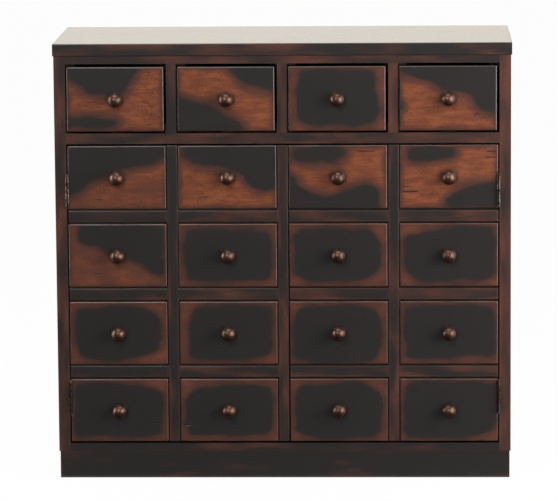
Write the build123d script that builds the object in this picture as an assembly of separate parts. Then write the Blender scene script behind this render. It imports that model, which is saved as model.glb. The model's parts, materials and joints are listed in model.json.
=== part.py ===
from build123d import *
import math
import os

# Papelera cabinet: four real drawers over two cupboard doors that are faced to look like sixteen
# more drawers. Millimetres, +Z up, front towards -Y. The origin is on the floor, at the middle of
# the footprint that the cabinet and its knobs cover together.

# Overall
OVERALL_WIDTH = 914.0  # across the top board
OVERALL_DEPTH = 356.0  # front edge of the top board to the back
OVERALL_HEIGHT = 880.0
TOP_THICKNESS = 25.0
TOP_OVERHANG = 2.0  # past the carcass at the front and at each side
TOP_EDGE_ROUND = 2.0

# Face frame
FRAME_THICKNESS = 22.0
STILE_WIDTH = 23.0
TOP_RAIL_HEIGHT = 15.5
MID_RAIL_HEIGHT = 21.5
BOTTOM_RAIL_HEIGHT = 16.5
MULLION_WIDTH = 20.0
DRAWER_OPENING_HEIGHT = 139.0
TENON_THICKNESS = 8.0
TENON_LENGTH = 14.0
TENON_SHOULDER = 3.0
STUB_TENON_LENGTH = 8.0

# Carcass
SIDE_THICKNESS = 18.0
TONGUE_THICKNESS = 6.0  # on the front edge of a side panel, let into the back of the stile
TONGUE_DEPTH = 6.0
HOUSING_DEPTH = 5.0  # how far a board is let into the one that carries it
BOTTOM_THICKNESS = 16.0
DECK_THICKNESS = 16.0
PARTITION_THICKNESS = 18.0
BACK_THICKNESS = 6.0
BACK_RABBET = 9.0
PLINTH_HEIGHT = 55.0
PLINTH_THICKNESS = 18.0
PLINTH_INSET = 2.0
PLINTH_BLOCK = 30.0  # legs of the glue blocks in the plinth's corners

# Shelf
SHELF_THICKNESS = 18.0
SHELF_SETBACK = 14.0  # behind the face frame
SHELF_PLAY = 1.0
PIN_RADIUS = 2.5
PIN_LENGTH = 18.0
PIN_HOLE_DEPTH = 9.0
PIN_HOLE_PLAY = 0.25
PIN_PITCH = 32.0
PIN_ROWS = 3
SHELF_ROW = 1  # counted from the lowest row of holes
PEG_SIDES = 12  # flat facets round a pin and its hole
PIN_INSET = 45.0  # from the shelf's front and back edges

# Fronts
SIDE_REVEAL = 2.5  # gap beside a door, and at the left of a drawer front
LEVEL_REVEAL = 3.5  # gap above and below a door, and below a drawer front
DRAWER_PLAY = 2.5  # more gap at the right of a drawer front and above it
FACE_PROUD = 1.0  # how far the fronts stand out of the face frame
EDGE_ROUND = 2.5

# Drawers
DRAWER_COUNT = 4
FRONT_THICKNESS = 20.0
DRAWER_SIDE_THICKNESS = 11.0
DRAWER_SIDE_DROP = 6.0  # side's top edge below the front's
DRAWER_BACK_THICKNESS = 11.0
DRAWER_BACK_GAP = 8.0  # behind the closed drawer
DRAWER_BOTTOM_THICKNESS = 5.0
DRAWER_BOTTOM_LIFT = 8.0
GROOVE_DEPTH = 5.0
GROOVE_PLAY = 0.5
TAIL_DEPTH = 13.0  # how far the dovetails reach into the drawer front
TAIL_COUNT = 3
PIN_GAP = 9.0  # wood between two tails at their tips
TAIL_SLOPE = 0.17
RUNNER_WIDTH = 12.0  # under the drawer side
GUIDE_HEIGHT = 14.0  # beside the drawer side, above the runner
SLIDE_CLEARANCE = 0.3
KICKER_WIDTH = 14.0  # over the drawer side, to stop it tipping when it is pulled out
KICKER_CLEARANCE = 0.8
STOP_WIDTH = 24.0
STOP_DEPTH = 14.0
STOP_HEIGHT = 8.0

# Doors
DOOR_ROWS = 4
CORE_THICKNESS = 13.0
STRIP_THICKNESS = 8.0
DOOR_RAIL_HEIGHT = 23.0
COLUMN_GROOVE = 2.0
ROW_GROOVE = 3.5
STRIP_EASE = 0.8

# Knobs
KNOB_RADIUS = 14.3
KNOB_REACH = 31.0
KNOB_SIDES = 12  # flat facets round a knob, few because there are twenty knobs
KNOB_BANDS = 5
ROSE_RADIUS = 8.5
ROSE_THICKNESS = 1.8
NECK_RADIUS = 4.5

# Butt hinges
LEAF_HEIGHT = 60.0
LEAF_WIDTH = 19.0  # from the frame's face inwards
LEAF_THICKNESS = 1.5
KNUCKLE_COUNT = 4
KNUCKLE_RADIUS = 3.9
KNUCKLE_SIDES = 12
KNUCKLE_GAP = 0.3
HINGE_PIN_RADIUS = 1.5
HINGE_PIN_CLEARANCE = 0.05
HINGE_PIN_PROUD = 3.0  # pin's axis in front of the face frame
TIP_RADIUS = 3.5
TIP_HEIGHT = 5.0
TIP_COLLAR = 1.5
TIP_CROWN = 1.8  # radius left at the tip's end
HINGE_INSET = 91.0  # middle of a hinge from the door's top or bottom edge

# Magnetic catches
CATCH_WIDTH = 46.0
CATCH_DEPTH = 14.0
CATCH_HEIGHT = 26.0
CATCH_GAP = 0.3
STRIKE_WIDTH = 36.0
STRIKE_HEIGHT = 13.0
STRIKE_THICKNESS = 1.2
CATCH_INSET = 45.0  # middle of a catch from the door's free edge

# Where the main planes lie
half_width = OVERALL_WIDTH / 2
carcass_half = half_width - TOP_OVERHANG
opening_half = carcass_half - STILE_WIDTH
back_y = (OVERALL_DEPTH - TOP_OVERHANG + FACE_PROUD + KNOB_REACH) / 2
top_front_y = back_y - OVERALL_DEPTH
frame_y = top_front_y + TOP_OVERHANG
frame_back_y = frame_y + FRAME_THICKNESS
face_y = frame_y - FACE_PROUD
back_panel_y = back_y - BACK_THICKNESS
side_inner = carcass_half - SIDE_THICKNESS

carcass_top = OVERALL_HEIGHT - TOP_THICKNESS
drawer_opening = (carcass_top - TOP_RAIL_HEIGHT - DRAWER_OPENING_HEIGHT, carcass_top - TOP_RAIL_HEIGHT)
deck_top = drawer_opening[0]
deck = (deck_top - DECK_THICKNESS, deck_top)
bottom_top = PLINTH_HEIGHT + BOTTOM_RAIL_HEIGHT
bottom = (bottom_top - BOTTOM_THICKNESS, bottom_top)
door_opening = (bottom_top, deck_top - MID_RAIL_HEIGHT)

# The four columns, shared by the drawers and by the doors' false fronts
column_pitch = (2 * opening_half + MULLION_WIDTH) / DRAWER_COUNT
column_width = column_pitch - MULLION_WIDTH
column_middles = [(i - (DRAWER_COUNT - 1) / 2) * column_pitch for i in range(DRAWER_COUNT)]
mullion_middles = [middle + column_pitch / 2 for middle in column_middles[:-1]]
front_spans = [
    (middle - column_width / 2 + SIDE_REVEAL, middle + column_width / 2 - SIDE_REVEAL)
    for middle in column_middles
]
drawer_spans = [(left, right - DRAWER_PLAY) for left, right in front_spans]

# Doors: the left one carries the strip in the middle of the cabinet
door_span = (door_opening[0] + LEVEL_REVEAL, door_opening[1] - LEVEL_REVEAL)
left_door_span = (-opening_half + SIDE_REVEAL, MULLION_WIDTH / 2)
right_door_span = (left_door_span[1] + SIDE_REVEAL, opening_half - SIDE_REVEAL)
strip_face_y = frame_y
core_front_y = strip_face_y + STRIP_THICKNESS
core_back_y = core_front_y + CORE_THICKNESS
row_step = DOOR_RAIL_HEIGHT + 2 * ROW_GROOVE
row_height = (door_span[1] - door_span[0] - (DOOR_ROWS - 1) * row_step) / DOOR_ROWS
row_spans = [
    (door_span[0] + i * (row_height + row_step), door_span[0] + i * (row_height + row_step) + row_height)
    for i in range(DOOR_ROWS)
]
hinge_pin_y = frame_y - HINGE_PIN_PROUD
hinge_middles = (door_span[0] + HINGE_INSET, door_span[1] - HINGE_INSET)


def board(x, y, z):
    """A square-edged board between three pairs of planes, each pair in either order."""
    middles = [sum(pair) / 2 for pair in (x, y, z)]
    sizes = [abs(pair[1] - pair[0]) for pair in (x, y, z)]
    return Pos(*middles) * Box(*sizes)


def post(radius, x, y, z):
    """A vertical round bar between two heights."""
    return Pos(x, y, sum(z) / 2) * Cylinder(radius, z[1] - z[0])


def turned(sections, sides):
    """A turned shape on Z through (radius, height) pairs, with flat facets round it."""
    turns = [2 * math.pi * i / sides for i in range(sides)]
    rings = [
        [Vector(radius * math.cos(turn), radius * math.sin(turn), height) for turn in turns]
        for radius, height in sections
    ]
    outlines = [rings[0], rings[-1]]
    for low, high in zip(rings, rings[1:]):
        outlines += [(low[i - 1], low[i], high[i], high[i - 1]) for i in range(sides)]
    return Solid(Shell([Face(Wire.make_polygon(outline)) for outline in outlines]))


def peg(radius, length):
    """A many-sided bar along X, centred on the origin."""
    half = length / 2
    return Rot(Y=90) * turned([(radius, -half), (radius, half)], PEG_SIDES)


def rounded_front(x, y, z):
    """A board whose four front edges are rounded over."""
    blank = board(x, y, z)
    return fillet(blank.faces().sort_by(Axis.Y)[0].edges(), EDGE_ROUND)


def eased_strip(x, y, z):
    """A strip whose four front edges are planed off a little."""
    blank = board(x, y, z)
    return chamfer(blank.faces().sort_by(Axis.Y)[0].edges(), STRIP_EASE)


def bounds_meet(a, b):
    """True where the bounding boxes of two solids overlap."""
    a, b = a.bounding_box(), b.bounding_box()
    low_a, high_a, low_b, high_b = map(tuple, (a.min, a.max, b.min, b.max))
    return all(low_a[i] < high_b[i] and low_b[i] < high_a[i] for i in range(3))


def middle_of(span):
    return sum(span) / 2


# ---- Top and plinth ----


def top_panel():
    """The top board, its long front edges and its end edges rounded over."""
    slab = board((-half_width, half_width), (top_front_y, back_y), (carcass_top, OVERALL_HEIGHT))
    front = slab.faces().sort_by(Axis.Y)[0].edges().filter_by(Axis.X)
    ends = slab.faces().filter_by(Axis.X).edges().filter_by(Axis.Y)
    return fillet(front + ends, TOP_EDGE_ROUND)


plinth_half = carcass_half - PLINTH_INSET
plinth_front_y = frame_y + PLINTH_INSET
plinth_inner_half = plinth_half - PLINTH_THICKNESS


def plinth_front():
    """Front board of the plinth, mitred at both ends."""
    inner_y = plinth_front_y + PLINTH_THICKNESS
    outline = Polyline(
        (-plinth_half, plinth_front_y),
        (plinth_half, plinth_front_y),
        (plinth_inner_half, inner_y),
        (-plinth_inner_half, inner_y),
        close=True,
    )
    return extrude(make_face(outline), PLINTH_HEIGHT)


def plinth_sides():
    inner_y = plinth_front_y + PLINTH_THICKNESS
    outline = Polyline(
        (plinth_half, plinth_front_y),
        (plinth_half, back_y),
        (plinth_inner_half, back_y),
        (plinth_inner_half, inner_y),
        close=True,
    )
    right = extrude(make_face(outline), PLINTH_HEIGHT)
    return [mirror(right, Plane.YZ), right]


def plinth_back():
    return board(
        (-plinth_inner_half, plinth_inner_half), (back_y - PLINTH_THICKNESS, back_y), (0, PLINTH_HEIGHT)
    )


def plinth_blocks():
    """Three-cornered glue blocks inside the plinth's corners."""
    blocks = []
    for side in (-1, 1):
        for y, inwards in ((plinth_front_y + PLINTH_THICKNESS, 1), (back_y - PLINTH_THICKNESS, -1)):
            x = side * plinth_inner_half
            outline = Polyline(
                (x, y), (x - side * PLINTH_BLOCK, y), (x, y + inwards * PLINTH_BLOCK), close=True
            )
            blocks.append(extrude(make_face(outline), PLINTH_HEIGHT))
    return blocks


# ---- Face frame ----

tenon_span = (
    frame_y + (FRAME_THICKNESS - TENON_THICKNESS) / 2,
    frame_y + (FRAME_THICKNESS + TENON_THICKNESS) / 2,
)
rail_spans = {
    "top_rail": (drawer_opening[1], carcass_top),
    "mid_rail": (door_opening[1], deck_top),
    "bottom_rail": (PLINTH_HEIGHT, bottom_top),
}


def rail_tenons(z):
    """The tongues on both ends of a rail, in one bar that reaches into both stiles."""
    reach = opening_half + TENON_LENGTH
    return board((-reach, reach), tenon_span, (z[0] + TENON_SHOULDER, z[1] - TENON_SHOULDER))


def mullion_tenons(middle):
    """The stub tenons above and below one mullion, in one upright bar."""
    half = MULLION_WIDTH / 2 - TENON_SHOULDER
    z = (drawer_opening[0] - STUB_TENON_LENGTH, drawer_opening[1] + STUB_TENON_LENGTH)
    return board((middle - half, middle + half), tenon_span, z)


def rail(name):
    z = rail_spans[name]
    bar = board((-opening_half, opening_half), (frame_y, frame_back_y), z) + rail_tenons(z)
    if name != "bottom_rail":
        for middle in mullion_middles:
            bar -= mullion_tenons(middle)
    return bar


def drawer_mullions():
    mullions = []
    for middle in mullion_middles:
        half = MULLION_WIDTH / 2
        body = board((middle - half, middle + half), (frame_y, frame_back_y), drawer_opening)
        mullions.append(body + mullion_tenons(middle))
    return mullions


def side_tongue(side):
    """The tongue on the front edge of a side panel. side is -1 for left and 1 for right."""
    middle = side * (carcass_half - SIDE_THICKNESS / 2)
    half = TONGUE_THICKNESS / 2
    x = (middle - half, middle + half)
    return board(x, (frame_back_y - TONGUE_DEPTH, frame_back_y), (PLINTH_HEIGHT, carcass_top))


def stile(side):
    """A face frame stile, mortised for the rails and recessed for the hinges."""
    z = (PLINTH_HEIGHT, carcass_top)
    post_body = board((side * opening_half, side * carcass_half), (frame_y, frame_back_y), z)
    for span in rail_spans.values():
        post_body -= rail_tenons(span)
    post_body -= side_tongue(side)
    for middle in hinge_middles:
        post_body -= leaf_recess(side, middle, on_door=False)
        post_body -= barrel_recess(side, middle)
    return post_body


# ---- Carcass ----

shelf_span_y = (frame_back_y + SHELF_SETBACK, back_panel_y - SHELF_PLAY)
pin_depths = (shelf_span_y[0] + PIN_INSET, shelf_span_y[1] - PIN_INSET)
cupboard_middle = (bottom_top + deck[0]) / 2
pin_heights = [cupboard_middle + (i - (PIN_ROWS - 1) / 2) * PIN_PITCH for i in range(PIN_ROWS)]
shelf_pin_z = pin_heights[SHELF_ROW]
shelf_bottom = shelf_pin_z + PIN_RADIUS


def deck_bar(z):
    """The space that the deck or the bottom panel fills between and inside the side panels."""
    reach = side_inner + HOUSING_DEPTH
    return board((-reach, reach), (frame_back_y, back_panel_y), z)


def back_bar():
    reach = side_inner + BACK_RABBET
    return board((-reach, reach), (back_panel_y, back_y), (PLINTH_HEIGHT, carcass_top))


def side_panel(side):
    """A side panel: tongued at the front, housed for deck and bottom, rabbeted at the back."""
    z = (PLINTH_HEIGHT, carcass_top)
    panel = board((side * side_inner, side * carcass_half), (frame_back_y, back_y), z)
    panel += side_tongue(side)
    panel -= deck_bar(deck)
    panel -= deck_bar(bottom)
    panel -= back_bar()
    for height in pin_heights:
        for depth in pin_depths:
            hole = peg(PIN_RADIUS + PIN_HOLE_PLAY, 2 * PIN_HOLE_DEPTH)
            panel -= Pos(side * side_inner, depth, height) * hole
    return panel


def partition(middle):
    half = PARTITION_THICKNESS / 2
    z = (deck_top - HOUSING_DEPTH, carcass_top)
    return board((middle - half, middle + half), (frame_back_y, back_panel_y), z)


def drawer_deck():
    panel = deck_bar(deck)
    for middle in mullion_middles:
        panel -= partition(middle)
    return panel


def shelf():
    half = side_inner - SHELF_PLAY
    return board((-half, half), shelf_span_y, (shelf_bottom, shelf_bottom + SHELF_THICKNESS))


def shelf_pins():
    pins = []
    for side in (-1, 1):
        for depth in pin_depths:
            middle = side * (side_inner + PIN_HOLE_DEPTH - PIN_LENGTH / 2)
            pins.append(Pos(middle, depth, shelf_pin_z) * peg(PIN_RADIUS, PIN_LENGTH))
    return pins


# ---- Drawers ----

front_z = (drawer_opening[0] + LEVEL_REVEAL, drawer_opening[1] - LEVEL_REVEAL - DRAWER_PLAY)
front_back_y = face_y + FRONT_THICKNESS
drawer_rear_y = back_panel_y - DRAWER_BACK_GAP
drawer_side_z = (front_z[0], front_z[1] - DRAWER_SIDE_DROP)
drawer_bottom_z = (front_z[0] + DRAWER_BOTTOM_LIFT, front_z[0] + DRAWER_BOTTOM_LIFT + DRAWER_BOTTOM_THICKNESS)
drawer_back_z = (drawer_bottom_z[1], drawer_side_z[1])
back_board_y = (drawer_rear_y - DRAWER_BACK_THICKNESS, drawer_rear_y)


def tails(x, root_y, tip_y, z):
    """A row of dovetails across a board's end, narrow at root_y and wide at tip_y."""
    pitch = (z[1] - z[0]) / TAIL_COUNT
    half_tip = (pitch - PIN_GAP) / 2
    half_root = half_tip - abs(tip_y - root_y) * TAIL_SLOPE
    row = []
    for i in range(TAIL_COUNT):
        middle = z[0] + (i + 0.5) * pitch
        outline = Polyline(
            (root_y, middle - half_root),
            (tip_y, middle - half_tip),
            (tip_y, middle + half_tip),
            (root_y, middle + half_root),
            close=True,
        )
        face = Plane((x[0], 0, 0), x_dir=(0, 1, 0), z_dir=(1, 0, 0)) * make_face(outline)
        row.append(extrude(face, x[1] - x[0]))
    return row


def drawer_side_spans(span):
    """The left and the right side board of a drawer whose front covers span."""
    return (
        (span[0], span[0] + DRAWER_SIDE_THICKNESS),
        (span[1] - DRAWER_SIDE_THICKNESS, span[1]),
    )


def bottom_groove(span):
    """The space ploughed round the inside of a drawer for its bottom."""
    reach = GROOVE_DEPTH - DRAWER_SIDE_THICKNESS
    x = (span[0] - reach, span[1] + reach)
    return board(x, (front_back_y - GROOVE_DEPTH, drawer_rear_y), drawer_bottom_z)


def drawer_side(span, x):
    y = (front_back_y, back_board_y[0])
    side = board(x, y, drawer_side_z)
    side += board(x, back_board_y, (drawer_side_z[0], drawer_back_z[0]))
    side += tails(x, front_back_y, front_back_y - TAIL_DEPTH, drawer_side_z)
    side += tails(x, *back_board_y, drawer_back_z)
    return side - bottom_groove(span)


def drawer_front(span):
    front = rounded_front(span, (face_y, front_back_y), front_z)
    for x in drawer_side_spans(span):
        front -= tails(x, front_back_y, front_back_y - TAIL_DEPTH, drawer_side_z)
    return front - bottom_groove(span)


def drawer_back(span):
    back = board(span, back_board_y, drawer_back_z)
    for x in drawer_side_spans(span):
        back -= tails(x, *back_board_y, drawer_back_z)
    return back


def drawer_bottom(span):
    reach = GROOVE_DEPTH - DRAWER_SIDE_THICKNESS - GROOVE_PLAY
    x = (span[0] - reach, span[1] + reach)
    return board(x, (front_back_y - GROOVE_DEPTH + GROOVE_PLAY, drawer_rear_y), drawer_bottom_z)


def drawer_parts(number, span):
    prefix = f"drawer_{number}_"
    return {
        prefix + "front": [drawer_front(span)],
        prefix + "sides": [drawer_side(span, x) for x in drawer_side_spans(span)],
        prefix + "back": [drawer_back(span)],
        prefix + "bottom": [drawer_bottom(span)],
        prefix + "knob": [knob(middle_of(span), middle_of(front_z))],
    }


def drawer_walls():
    """For each drawer side: the wall beside it, the drawer side's face, and the way inwards."""
    half_partition = PARTITION_THICKNESS / 2
    lefts = [-side_inner] + [middle + half_partition for middle in mullion_middles]
    rights = [middle - half_partition for middle in mullion_middles] + [side_inner]
    for left, right, span in zip(lefts, rights, drawer_spans):
        yield left, span[0], 1
        yield right, span[1], -1


runner_y = (frame_back_y, drawer_rear_y)


def drawer_runners():
    """L-shaped strips on the deck: each drawer side runs on the foot and beside the upright."""
    foot_z = (deck_top, front_z[0] - SLIDE_CLEARANCE)
    guide_z = (foot_z[1], foot_z[1] + GUIDE_HEIGHT)
    runners = []
    for wall, edge, inwards in drawer_walls():
        foot = board((wall, edge + inwards * RUNNER_WIDTH), runner_y, foot_z)
        runners.append(foot + board((wall, edge - inwards * SLIDE_CLEARANCE), runner_y, guide_z))
    return runners


def drawer_kickers():
    """Strips under the top board, just over the drawer sides."""
    z = (drawer_side_z[1] + KICKER_CLEARANCE, carcass_top)
    return [
        board((wall, edge + inwards * KICKER_WIDTH), runner_y, z)
        for wall, edge, inwards in drawer_walls()
    ]


def drawer_stops():
    """Blocks that the back of each drawer front meets when the drawer is closed."""
    y = (front_back_y, front_back_y + STOP_DEPTH)
    z = (deck_top, deck_top + STOP_HEIGHT)
    half = STOP_WIDTH / 2
    return [board((middle - half, middle + half), y, z) for middle in column_middles]


# ---- Knobs ----


def knob(x, z):
    """A ball knob on a short neck and a small rose."""
    ball_middle = KNOB_REACH - KNOB_RADIUS
    start = math.asin(NECK_RADIUS / KNOB_RADIUS)
    sections = [(ROSE_RADIUS, 0), (ROSE_RADIUS, ROSE_THICKNESS), (NECK_RADIUS, 2 * ROSE_THICKNESS)]
    for i in range(KNOB_BANDS):
        turn = start + (math.pi - start) * i / KNOB_BANDS
        sections.append((KNOB_RADIUS * math.sin(turn), ball_middle - KNOB_RADIUS * math.cos(turn)))
    sections.append((NECK_RADIUS / 2, KNOB_REACH))
    return Pos(x, face_y, z) * Rot(X=90) * turned(sections, KNOB_SIDES)


# ---- Hinges ----


def hinge_pin_x(side):
    return side * (opening_half - SIDE_REVEAL / 2)


def knuckle_spans(middle, on_door):
    """The heights of the knuckles that one leaf carries: the frame has the top one."""
    pitch = LEAF_HEIGHT / KNUCKLE_COUNT
    top = middle + LEAF_HEIGHT / 2
    first = 1 if on_door else 0
    return [
        (top - (i + 1) * pitch + KNUCKLE_GAP / 2, top - i * pitch - KNUCKLE_GAP / 2)
        for i in range(first, KNUCKLE_COUNT, 2)
    ]


def leaf_plate(side, middle, on_door, start_y, z=None):
    """The flat of one leaf, on the door's edge or on the stile's."""
    outwards = -side if on_door else side
    near = hinge_pin_x(side) + outwards * SIDE_REVEAL / 2
    z = z or (middle - LEAF_HEIGHT / 2, middle + LEAF_HEIGHT / 2)
    return board((near, near + outwards * LEAF_THICKNESS), (start_y, frame_y + LEAF_WIDTH), z)


def leaf_recess(side, middle, on_door):
    return leaf_plate(side, middle, on_door, face_y)


def barrel_recess(side, middle):
    """Room round the hinge barrel, the same at any angle of the door."""
    reach = LEAF_HEIGHT / 2 + TIP_HEIGHT + KNUCKLE_GAP
    z = (middle - reach, middle + reach)
    return post(KNUCKLE_RADIUS + KNUCKLE_GAP, hinge_pin_x(side), hinge_pin_y, z)


def hinge_leaf(side, middle, on_door):
    """A leaf with its knuckles. Its flat stops short of the other leaf's knuckles."""
    pin_x = hinge_pin_x(side)
    leaf = leaf_plate(side, middle, on_door, hinge_pin_y + KNUCKLE_RADIUS + KNUCKLE_GAP)
    for z in knuckle_spans(middle, on_door):
        leaf += leaf_plate(side, middle, on_door, hinge_pin_y, z)
        knuckle = turned([(KNUCKLE_RADIUS, z[0]), (KNUCKLE_RADIUS, z[1])], KNUCKLE_SIDES)
        leaf += Pos(pin_x, hinge_pin_y) * knuckle
    # the flats of the bore stand clear of the round pin
    bore_radius = (HINGE_PIN_RADIUS + HINGE_PIN_CLEARANCE) / math.cos(math.pi / KNUCKLE_SIDES)
    half = LEAF_HEIGHT / 2
    bore = turned([(bore_radius, middle - half), (bore_radius, middle + half)], KNUCKLE_SIDES)
    return leaf - Pos(pin_x, hinge_pin_y) * bore


def hinge_pin(side, middle):
    """A pin with a blunt tip above and below the barrel."""
    half = LEAF_HEIGHT / 2
    sections = [(TIP_RADIUS, half), (TIP_RADIUS, half + TIP_COLLAR), (TIP_CROWN, half + TIP_HEIGHT)]
    tip = turned(sections, KNUCKLE_SIDES)
    pin = Cylinder(HINGE_PIN_RADIUS, LEAF_HEIGHT) + tip + mirror(tip, Plane.XY)
    return Pos(hinge_pin_x(side), hinge_pin_y, middle) * pin


# ---- Doors ----


def catch_x(span, side):
    """Middle of a catch, inwards from the door's free edge."""
    free_edge = span[1] if side < 0 else span[0]
    return free_edge + side * CATCH_INSET


def door_catch(span, side):
    middle = catch_x(span, side)
    front = core_back_y + STRIKE_THICKNESS + CATCH_GAP
    return board(
        (middle - CATCH_WIDTH / 2, middle + CATCH_WIDTH / 2),
        (front, front + CATCH_DEPTH),
        (deck[0] - CATCH_HEIGHT, deck[0]),
    )


def door_strike(span, side):
    middle = catch_x(span, side)
    top = min(door_span[1], deck[0]) - LEVEL_REVEAL
    return board(
        (middle - STRIKE_WIDTH / 2, middle + STRIKE_WIDTH / 2),
        (core_back_y, core_back_y + STRIKE_THICKNESS),
        (top - STRIKE_HEIGHT, top),
    )


def door_upright_spans(span, columns):
    """The strips that stand between, and at the free edge of, a door's columns."""
    uprights = [(a[1] + COLUMN_GROOVE, b[0] - COLUMN_GROOVE) for a, b in zip(columns, columns[1:])]
    if span[1] - columns[-1][1] > SIDE_REVEAL:
        uprights.append((columns[-1][1] + COLUMN_GROOVE, span[1]))
    return uprights


def door_strips(span, columns):
    """Full-height upright strips, with level strips butted between them."""
    y = (strip_face_y, core_front_y)
    uprights = door_upright_spans(span, columns)
    strips = [eased_strip(x, y, door_span) for x in uprights]
    edges = [span[0]] + [edge for x in uprights for edge in x]
    if uprights[-1][1] < span[1]:
        edges.append(span[1])
    level_spans = [x for x in zip(edges[0::2], edges[1::2])]
    for row in row_spans[:-1]:
        z = (row[1] + ROW_GROOVE, row[1] + ROW_GROOVE + DOOR_RAIL_HEIGHT)
        strips += [eased_strip(x, y, z) for x in level_spans]
    return strips


def cut_for_hinges(piece, side):
    """Takes the leaf and barrel recesses out of any piece of a door that they reach."""
    for middle in hinge_middles:
        for recess in (leaf_recess(side, middle, on_door=True), barrel_recess(side, middle)):
            if bounds_meet(piece, recess):
                piece -= recess
    return piece


def door_parts(name, side, span, columns):
    """One door. side is -1 where it hangs on the left stile and 1 on the right."""
    core = board(span, (core_front_y, core_back_y), door_span)
    cells = [(x, z) for x in columns for z in row_spans]
    fronts = [rounded_front(x, (face_y, core_front_y), z) for x, z in cells]
    return {
        name + "_core": [cut_for_hinges(core, side)],
        name + "_strips": [cut_for_hinges(strip, side) for strip in door_strips(span, columns)],
        name + "_false_fronts": [cut_for_hinges(front, side) for front in fronts],
        name + "_knobs": [knob(middle_of(x), middle_of(z)) for x, z in cells],
        name + "_hinge_leaves": [hinge_leaf(side, middle, on_door=True) for middle in hinge_middles],
        name + "_strike": [door_strike(span, side)],
    }


# ---- The whole cabinet, one entry per node ----

sides_and_spans = ((-1, left_door_span), (1, right_door_span))
nodes = {
    "top_panel": [top_panel()],
    "left_side_panel": [side_panel(-1)],
    "right_side_panel": [side_panel(1)],
    "back_panel": [back_bar()],
    "bottom_panel": [deck_bar(bottom)],
    "drawer_deck": [drawer_deck()],
    "left_stile": [stile(-1)],
    "right_stile": [stile(1)],
    "top_rail": [rail("top_rail")],
    "mid_rail": [rail("mid_rail")],
    "bottom_rail": [rail("bottom_rail")],
    "drawer_mullions": drawer_mullions(),
    "drawer_partitions": [partition(middle) for middle in mullion_middles],
    "drawer_runners": drawer_runners(),
    "drawer_kickers": drawer_kickers(),
    "drawer_stops": drawer_stops(),
    "plinth_front": [plinth_front()],
    "plinth_sides": plinth_sides(),
    "plinth_back": [plinth_back()],
    "plinth_blocks": plinth_blocks(),
    "shelf": [shelf()],
    "shelf_pins": shelf_pins(),
    "door_catches": [door_catch(span, side) for side, span in sides_and_spans],
    "frame_hinge_leaves": [
        hinge_leaf(side, middle, on_door=False) for side in (-1, 1) for middle in hinge_middles
    ],
    "hinge_pins": [hinge_pin(side, middle) for side in (-1, 1) for middle in hinge_middles],
}
for i, span in enumerate(drawer_spans):
    nodes |= drawer_parts(i + 1, span)
nodes |= door_parts("left_door", -1, left_door_span, front_spans[:2])
nodes |= door_parts("right_door", 1, right_door_span, front_spans[2:])

os.makedirs("parts", exist_ok=True)
for name, pieces in nodes.items():
    solids = [solid for piece in pieces for solid in piece.solids()]
    export_step(Compound(label=name, children=solids), f"parts/{name}.step")
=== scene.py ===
"""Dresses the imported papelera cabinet: its woods and glaze, its knobs, hinges and screws, and a studio."""

import json
import math
from functools import lru_cache

import bmesh
import bpy
import numpy as np
from bpy.props import FloatProperty, FloatVectorProperty, IntProperty, PointerProperty
from bpy.types import Operator, Panel, PropertyGroup
from mathutils import Matrix, Vector

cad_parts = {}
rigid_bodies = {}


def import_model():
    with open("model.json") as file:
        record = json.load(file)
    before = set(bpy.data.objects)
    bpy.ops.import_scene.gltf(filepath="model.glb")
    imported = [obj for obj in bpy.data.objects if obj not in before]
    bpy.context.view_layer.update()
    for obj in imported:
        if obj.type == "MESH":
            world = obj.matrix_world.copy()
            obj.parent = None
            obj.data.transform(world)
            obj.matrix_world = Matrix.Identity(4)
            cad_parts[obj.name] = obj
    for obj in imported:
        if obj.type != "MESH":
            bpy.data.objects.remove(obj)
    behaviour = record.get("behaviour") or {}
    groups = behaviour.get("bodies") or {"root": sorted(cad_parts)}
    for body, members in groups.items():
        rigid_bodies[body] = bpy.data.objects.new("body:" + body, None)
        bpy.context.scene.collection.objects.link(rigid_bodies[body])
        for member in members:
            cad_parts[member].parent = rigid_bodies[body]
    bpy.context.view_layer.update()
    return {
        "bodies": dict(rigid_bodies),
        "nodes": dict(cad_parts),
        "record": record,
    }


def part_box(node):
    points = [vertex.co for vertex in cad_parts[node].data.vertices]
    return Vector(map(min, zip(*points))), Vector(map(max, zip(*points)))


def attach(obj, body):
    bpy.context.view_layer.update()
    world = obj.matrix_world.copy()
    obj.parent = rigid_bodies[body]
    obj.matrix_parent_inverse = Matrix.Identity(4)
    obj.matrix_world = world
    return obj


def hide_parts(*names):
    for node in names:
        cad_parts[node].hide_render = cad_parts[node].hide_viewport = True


bl_info = {
    "name": "Papelera cabinet",
    "version": (1, 0, 0),
    "blender": (4, 5, 0),
    "location": "3D View > Sidebar > Papelera",
    "description": "Finishes a papelera cabinet piece by piece around its packed solids",
    "category": "Object",
}

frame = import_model()

MM = 0.001
BODY_OF = {n: body for body, nodes in frame["record"]["behaviour"]["bodies"].items() for n in nodes}
SLOT_OF = {part["node"]: part["material_slot"] for part in frame["record"]["subparts"]}

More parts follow.
